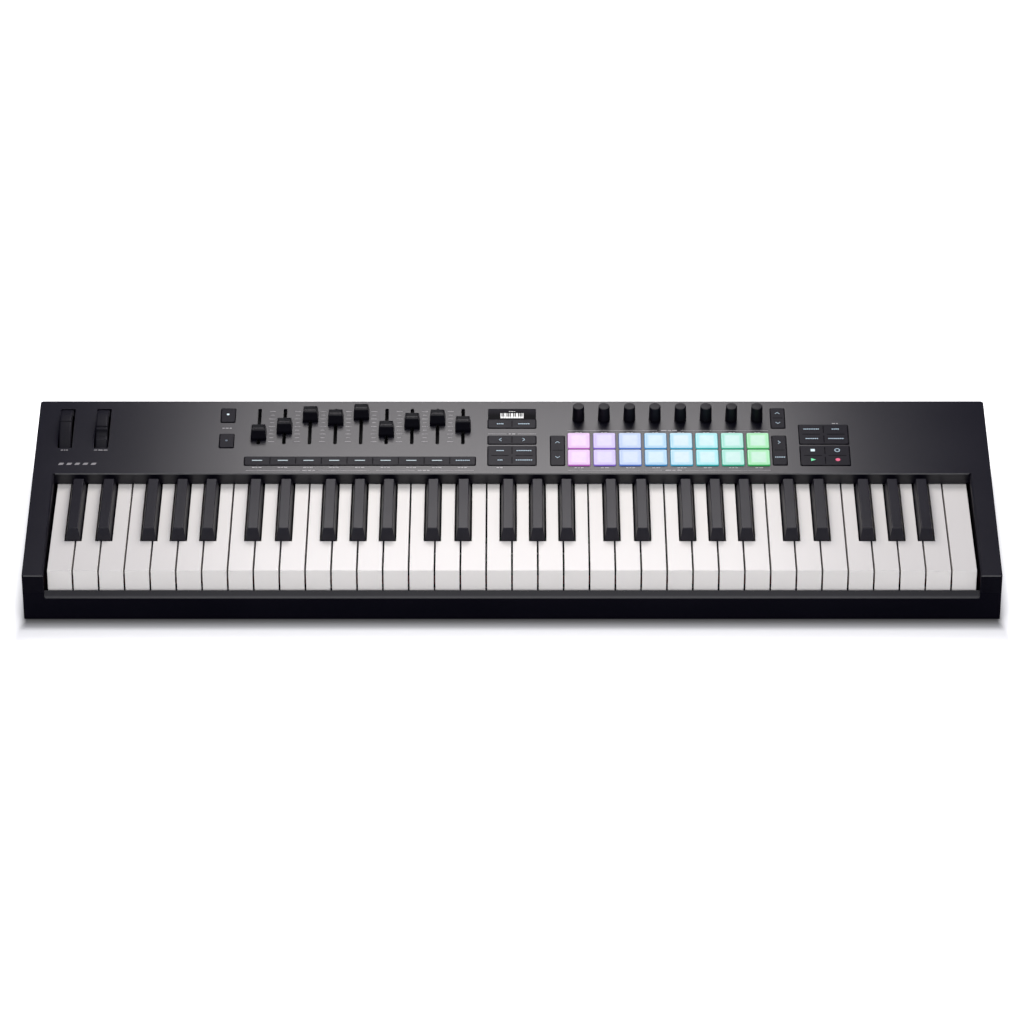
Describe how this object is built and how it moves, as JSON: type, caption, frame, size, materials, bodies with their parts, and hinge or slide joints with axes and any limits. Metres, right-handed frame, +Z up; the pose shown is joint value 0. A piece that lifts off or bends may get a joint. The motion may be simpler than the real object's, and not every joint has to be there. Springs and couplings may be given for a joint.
{
  "type": "keyboard synthesizer controller",
  "caption": "Keyboard synthesizer controller: piano-style keys in a sloped black case with pitch and modulation wheels, faders, knobs, lit drum pads, display and push buttons.",
  "frame": {"origin": "on the table plane, below the middle of the instrument's outline", "axes": "+X along the keyboard from bass to treble, +Y from the player to the rear panel, +Z up"},
  "size_m": [0.895, 0.2586, 0.0878],
  "materials": {
    "case_black": "satin moulded plastic",
    "white_key": "smooth gloss",
    "black_key": "satin",
    "control_black": "satin",
    "button_grey": "matt",
    "pad_silicone": "translucent, lit from below in eight colours",
    "wheel_rubber": "soft touch",
    "foot_rubber": "matt",
    "inner_plastic": "moulded",
    "felt": "felt",
    "board_green": "solder resist",
    "dome_silicone": "matt",
    "metal": "plated",
    "screw_steel": "black zinc",
    "display_gloss": "gloss"
  },
  "bodies": {
    "case": {"top_case": "case_black", "bottom_case": "case_black", "case_screws": "screw_steel", "rubber_feet": "foot_rubber", "key_chassis": "inner_plastic", "key_felts": "felt", "key_contact_board": "board_green", "key_domes": "dome_silicone", "wheel_bracket": "inner_plastic", "fader_bodies": "inner_plastic", "encoder_bodies": "metal", "tact_switches": "metal", "display": "display_gloss", "main_board": "board_green", "socket_plate": "case_black", "socket_board": "board_green", "pedal_jack": "inner_plastic", "usb_socket": "metal"},
    "keys_ceg_b_1": {"keys_ceg_b_1": "white_key"},
    "keys_dfa_1": {"keys_dfa_1": "white_key"},
    "keys_sharps_1": {"keys_sharps_1": "black_key"},
    "keys_ceg_b_2": {"keys_ceg_b_2": "white_key"},
    "keys_dfa_2": {"keys_dfa_2": "white_key"},
    "keys_sharps_2": {"keys_sharps_2": "black_key"},
    "keys_ceg_b_3": {"keys_ceg_b_3": "white_key"},
    "keys_dfa_3": {"keys_dfa_3": "white_key"},
    "keys_sharps_3": {"keys_sharps_3": "black_key"},
    "keys_ceg_b_4": {"keys_ceg_b_4": "white_key"},
    "keys_dfa_4": {"keys_dfa_4": "white_key"},
    "keys_sharps_4": {"keys_sharps_4": "black_key"},
    "keys_ceg_b_5": {"keys_ceg_b_5": "white_key"},
    "keys_dfa_5": {"keys_dfa_5": "white_key"},
    "keys_sharps_5": {"keys_sharps_5": "black_key"},
    "key_top_c": {"key_top_c": "white_key"},
    "pitch_wheel": {"pitch_wheel": "wheel_rubber"},
    "mod_wheel": {"mod_wheel": "wheel_rubber"},
    "fader_1": {"fader_1": "control_black"},
    "fader_2": {"fader_2": "control_black"},
    "fader_3": {"fader_3": "control_black"},
    "fader_4": {"fader_4": "control_black"},
    "fader_5": {"fader_5": "control_black"},
    "fader_6": {"fader_6": "control_black"},
    "fader_7": {"fader_7": "control_black"},
    "fader_8": {"fader_8": "control_black"},
    "fader_9": {"fader_9": "control_black"},
    "knob_1": {"knob_1": "control_black"},
    "knob_2": {"knob_2": "control_black"},
    "knob_3": {"knob_3": "control_black"},
    "knob_4": {"knob_4": "control_black"},
    "knob_5": {"knob_5": "control_black"},
    "knob_6": {"knob_6": "control_black"},
    "knob_7": {"knob_7": "control_black"},
    "knob_8": {"knob_8": "control_black"},
    "pads_upper": {"pads_upper": "pad_silicone"},
    "pads_lower": {"pads_lower": "pad_silicone"},
    "octave_buttons": {"octave_buttons": "button_grey"},
    "fader_buttons": {"fader_buttons": "button_grey"},
    "screen_buttons": {"screen_buttons": "button_grey"},
    "side_buttons": {"side_buttons": "button_grey"},
    "transport_buttons": {"transport_buttons": "button_grey"}
  },
  "joints": [
    {"name": "keys_ceg_b_1_press", "type": "hinge", "parent": "case", "child": "keys_ceg_b_1", "pos_m": [0, 0.048, 0.036], "axis": [1, 0, 0], "range_deg": [0, 3.4], "stiffness_Nm_per_rad": 1.6, "springref_deg": -8.59},
    {"name": "keys_dfa_1_press", "type": "hinge", "parent": "case", "child": "keys_dfa_1", "pos_m": [0, 0.048, 0.036], "axis": [1, 0, 0], "range_deg": [0, 3.4], "stiffness_Nm_per_rad": 1.2, "springref_deg": -8.59},
    {"name": "keys_sharps_1_press", "type": "hinge", "parent": "case", "child": "keys_sharps_1", "pos_m": [0, 0.048, 0.036], "axis": [1, 0, 0], "range_deg": [0, 3.4], "stiffness_Nm_per_rad": 2, "springref_deg": -8.59},
    {"name": "keys_ceg_b_2_press", "type": "hinge", "parent": "case", "child": "keys_ceg_b_2", "pos_m": [0, 0.048, 0.036], "axis": [1, 0, 0], "range_deg": [0, 3.4], "stiffness_Nm_per_rad": 1.6, "springref_deg": -8.59},
    {"name": "keys_dfa_2_press", "type": "hinge", "parent": "case", "child": "keys_dfa_2", "pos_m": [0, 0.048, 0.036], "axis": [1, 0, 0], "range_deg": [0, 3.4], "stiffness_Nm_per_rad": 1.2, "springref_deg": -8.59},
    {"name": "keys_sharps_2_press", "type": "hinge", "parent": "case", "child": "keys_sharps_2", "pos_m": [0, 0.048, 0.036], "axis": [1, 0, 0], "range_deg": [0, 3.4], "stiffness_Nm_per_rad": 2, "springref_deg": -8.59},
    {"name": "keys_ceg_b_3_press", "type": "hinge", "parent": "case", "child": "keys_ceg_b_3", "pos_m": [0, 0.048, 0.036], "axis": [1, 0, 0], "range_deg": [0, 3.4], "stiffness_Nm_per_rad": 1.6, "springref_deg": -8.59},
    {"name": "keys_dfa_3_press", "type": "hinge", "parent": "case", "child": "keys_dfa_3", "pos_m": [0, 0.048, 0.036], "axis": [1, 0, 0], "range_deg": [0, 3.4], "stiffness_Nm_per_rad": 1.2, "springref_deg": -8.59},
    {"name": "keys_sharps_3_press", "type": "hinge", "parent": "case", "child": "keys_sharps_3", "pos_m": [0, 0.048, 0.036], "axis": [1, 0, 0], "range_deg": [0, 3.4], "stiffness_Nm_per_rad": 2, "springref_deg": -8.59},
    {"name": "keys_ceg_b_4_press", "type": "hinge", "parent": "case", "child": "keys_ceg_b_4", "pos_m": [0, 0.048, 0.036], "axis": [1, 0, 0], "range_deg": [0, 3.4], "stiffness_Nm_per_rad": 1.6, "springref_deg": -8.59},
    {"name": "keys_dfa_4_press", "type": "hinge", "parent": "case", "child": "keys_dfa_4", "pos_m": [0, 0.048, 0.036], "axis": [1, 0, 0], "range_deg": [0, 3.4], "stiffness_Nm_per_rad": 1.2, "springref_deg": -8.59},
    {"name": "keys_sharps_4_press", "type": "hinge", "parent": "case", "child": "keys_sharps_4", "pos_m": [0, 0.048, 0.036], "axis": [1, 0, 0], "range_deg": [0, 3.4], "stiffness_Nm_per_rad": 2, "springref_deg": -8.59},
    {"name": "keys_ceg_b_5_press", "type": "hinge", "parent": "case", "child": "keys_ceg_b_5", "pos_m": [0, 0.048, 0.036], "axis": [1, 0, 0], "range_deg": [0, 3.4], "stiffness_Nm_per_rad": 1.6, "springref_deg": -8.59},
    {"name": "keys_dfa_5_press", "type": "hinge", "parent": "case", "child": "keys_dfa_5", "pos_m": [0, 0.048, 0.036], "axis": [1, 0, 0], "range_deg": [0, 3.4], "stiffness_Nm_per_rad": 1.2, "springref_deg": -8.59},
    {"name": "keys_sharps_5_press", "type": "hinge", "parent": "case", "child": "keys_sharps_5", "pos_m": [0, 0.048, 0.036], "axis": [1, 0, 0], "range_deg": [0, 3.4], "stiffness_Nm_per_rad": 2, "springref_deg": -8.59},
    {"name": "key_top_c_press", "type": "hinge", "parent": "case", "child": "key_top_c", "pos_m": [0, 0.048, 0.036], "axis": [1, 0, 0], "range_deg": [0, 3.4], "stiffness_Nm_per_rad": 0.4, "springref_deg": -8.59},
    {"name": "pitch_wheel_turn", "type": "hinge", "parent": "case", "child": "pitch_wheel", "pos_m": [-0.42035, 0.08933, 0.04713], "axis": [-1, 0, 0], "range_deg": [-30, 30], "stiffness_Nm_per_rad": 0.06},
    {"name": "mod_wheel_turn", "type": "hinge", "parent": "case", "child": "mod_wheel", "pos_m": [-0.3862, 0.08933, 0.04713], "axis": [-1, 0, 0], "range_deg": [0, 55]},
    {"name": "fader_1_slide", "type": "slide", "parent": "case", "child": "fader_1", "axis": [0, 0.9962, 0.0872], "range_m": [-0.0085, 0.0365]},
    {"name": "fader_2_slide", "type": "slide", "parent": "case", "child": "fader_2", "axis": [0, 0.9962, 0.0872], "range_m": [-0.0185, 0.0265]},
    {"name": "fader_3_slide", "type": "slide", "parent": "case", "child": "fader_3", "axis": [0, 0.9962, 0.0872], "range_m": [-0.0362, 0.0088]},
    {"name": "fader_4_slide", "type": "slide", "parent": "case", "child": "fader_4", "axis": [0, 0.9962, 0.0872], "range_m": [-0.0313, 0.0137]},
    {"name": "fader_5_slide", "type": "slide", "parent": "case", "child": "fader_5", "axis": [0, 0.9962, 0.0872], "range_m": [-0.0397, 0.0053]},
    {"name": "fader_6_slide", "type": "slide", "parent": "case", "child": "fader_6", "axis": [0, 0.9962, 0.0872], "range_m": [-0.0139, 0.0311]},
    {"name": "fader_7_slide", "type": "slide", "parent": "case", "child": "fader_7", "axis": [0, 0.9962, 0.0872], "range_m": [-0.026, 0.019]},
    {"name": "fader_8_slide", "type": "slide", "parent": "case", "child": "fader_8", "axis": [0, 0.9962, 0.0872], "range_m": [-0.0311, 0.0139]},
    {"name": "fader_9_slide", "type": "slide", "parent": "case", "child": "fader_9", "axis": [0, 0.9962, 0.0872], "range_m": [-0.0211, 0.0239]},
    {"name": "knob_1_turn", "type": "hinge", "parent": "case", "child": "knob_1", "pos_m": [0.0628, 0.10114, 0.07166], "axis": [0, -0.0872, 0.9962], "continuous": true},
    {"name": "knob_2_turn", "type": "hinge", "parent": "case", "child": "knob_2", "pos_m": [0.08686, 0.10114, 0.07166], "axis": [0, -0.0872, 0.9962], "continuous": true},
    {"name": "knob_3_turn", "type": "hinge", "parent": "case", "child": "knob_3", "pos_m": [0.11092, 0.10114, 0.07166], "axis": [0, -0.0872, 0.9962], "continuous": true},
    {"name": "knob_4_turn", "type": "hinge", "parent": "case", "child": "knob_4", "pos_m": [0.13498, 0.10114, 0.07166], "axis": [0, -0.0872, 0.9962], "continuous": true},
    {"name": "knob_5_turn", "type": "hinge", "parent": "case", "child": "knob_5", "pos_m": [0.15904, 0.10114, 0.07166], "axis": [0, -0.0872, 0.9962], "continuous": true},
    {"name": "knob_6_turn", "type": "hinge", "parent": "case", "child": "knob_6", "pos_m": [0.1831, 0.10114, 0.07166], "axis": [0, -0.0872, 0.9962], "continuous": true},
    {"name": "knob_7_turn", "type": "hinge", "parent": "case", "child": "knob_7", "pos_m": [0.20716, 0.10114, 0.07166], "axis": [0, -0.0872, 0.9962], "continuous": true},
    {"name": "knob_8_turn", "type": "hinge", "parent": "case", "child": "knob_8", "pos_m": [0.23122, 0.10114, 0.07166], "axis": [0, -0.0872, 0.9962], "continuous": true},
    {"name": "pads_upper_press", "type": "slide", "parent": "case", "child": "pads_upper", "axis": [0, 0.0872, -0.9962], "range_m": [0, 0.0007], "stiffness_N_per_m": 7200, "springref_m": -0.001},
    {"name": "pads_lower_press", "type": "slide", "parent": "case", "child": "pads_lower", "axis": [0, 0.0872, -0.9962], "range_m": [0, 0.0007], "stiffness_N_per_m": 7200, "springref_m": -0.001},
    {"name": "octave_buttons_press", "type": "slide", "parent": "case", "child": "octave_buttons", "axis": [0, 0.0872, -0.9962], "range_m": [0, 0.0008], "stiffness_N_per_m": 1200, "springref_m": -0.001},
    {"name": "fader_buttons_press", "type": "slide", "parent": "case", "child": "fader_buttons", "axis": [0, 0.0872, -0.9962], "range_m": [0, 0.0008], "stiffness_N_per_m": 5400, "springref_m": -0.001},
    {"name": "screen_buttons_press", "type": "slide", "parent": "case", "child": "screen_buttons", "axis": [0, 0.0872, -0.9962], "range_m": [0, 0.0008], "stiffness_N_per_m": 4800, "springref_m": -0.001},
    {"name": "side_buttons_press", "type": "slide", "parent": "case", "child": "side_buttons", "axis": [0, 0.0872, -0.9962], "range_m": [0, 0.0008], "stiffness_N_per_m": 3600, "springref_m": -0.001},
    {"name": "transport_buttons_press", "type": "slide", "parent": "case", "child": "transport_buttons", "axis": [0, 0.0872, -0.9962], "range_m": [0, 0.0008], "stiffness_N_per_m": 4800, "springref_m": -0.001}
  ]
}
